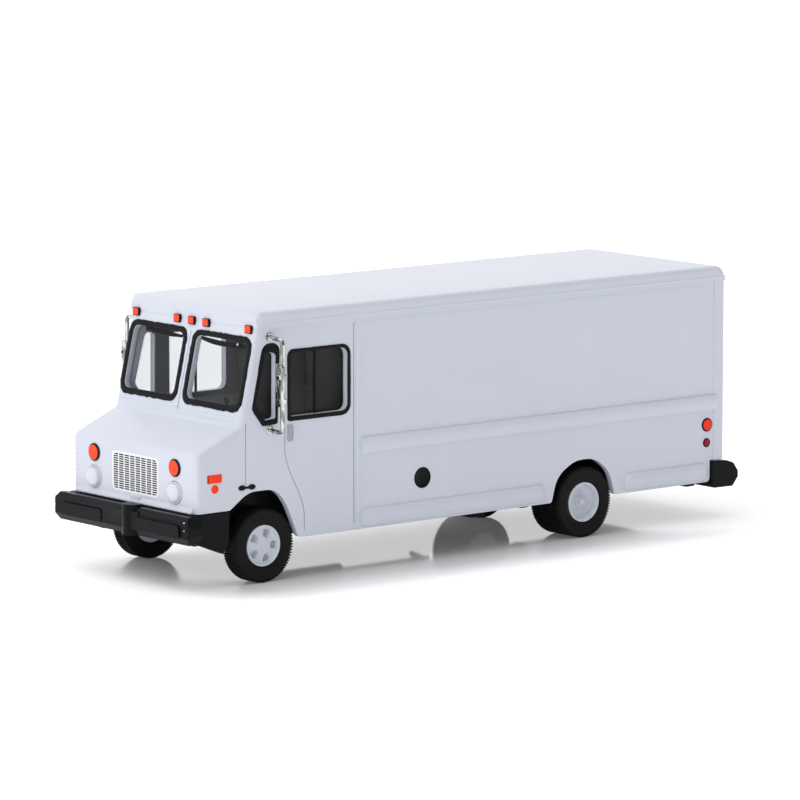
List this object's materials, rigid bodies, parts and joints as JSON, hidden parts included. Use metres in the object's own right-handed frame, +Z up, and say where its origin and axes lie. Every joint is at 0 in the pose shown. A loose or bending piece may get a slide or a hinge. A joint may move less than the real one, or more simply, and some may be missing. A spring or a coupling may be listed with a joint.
{
  "type": "scale model delivery truck",
  "caption": "Scale model of a white walk-in delivery van: cast body on a black base, clear windows, tall side mirrors and free-rolling axles with dual rear wheels.",
  "frame": {"origin": "middle of the model's bounding box, on the ground under the tyres", "axes": "+Z up; the truck faces -Y; +X is its driver's (left) side"},
  "size_m": [0.045, 0.1328, 0.0484],
  "materials": {
    "white_enamel": "gloss",
    "clear_plastic": "clear, see-through",
    "grille_plastic": "satin silver print over black",
    "pearl_lens": "pearly gloss",
    "black_plastic": "satin",
    "grey_plastic": "satin",
    "dark_grey_plastic": "matte",
    "chrome_plate": "mirror bright, vacuum plated on plastic",
    "bright_steel": "bright",
    "hub_plastic": "gloss",
    "tyre_rubber": "matte"
  },
  "bodies": {
    "body": {"body_casting": "white_enamel", "window_insert": "clear_plastic", "grille_insert": "grille_plastic", "headlamp_left": "pearl_lens", "headlamp_right": "pearl_lens", "chassis_base": "black_plastic", "front_suspension": "black_plastic", "rear_suspension": "black_plastic", "driveshaft": "black_plastic", "exhaust_system": "grey_plastic", "front_bumper": "black_plastic", "rear_bumper": "black_plastic", "mirror_left": "chrome_plate", "mirror_right": "chrome_plate", "interior_tub": "dark_grey_plastic", "driver_seat": "dark_grey_plastic", "steering_wheel": "black_plastic", "base_screw_front": "bright_steel", "base_screw_rear": "bright_steel"},
    "front_axle": {"front_axle_pin": "bright_steel", "front_hub_left": "hub_plastic", "front_hub_right": "hub_plastic", "front_tyre_left": "tyre_rubber", "front_tyre_right": "tyre_rubber"},
    "rear_axle": {"rear_axle_pin": "bright_steel", "rear_outer_hub_left": "hub_plastic", "rear_outer_hub_right": "hub_plastic", "rear_outer_tyre_left": "tyre_rubber", "rear_outer_tyre_right": "tyre_rubber", "rear_inner_hub_left": "hub_plastic", "rear_inner_hub_right": "hub_plastic", "rear_inner_tyre_left": "tyre_rubber", "rear_inner_tyre_right": "tyre_rubber"}
  },
  "joints": [
    {"name": "front_axle_roll", "type": "hinge", "parent": "body", "child": "front_axle", "pos_m": [0, -0.04745, 0.00665], "axis": [1, 0, 0], "continuous": true},
    {"name": "rear_axle_roll", "type": "hinge", "parent": "body", "child": "rear_axle", "pos_m": [0, 0.02805, 0.00665], "axis": [1, 0, 0], "continuous": true}
  ]
}
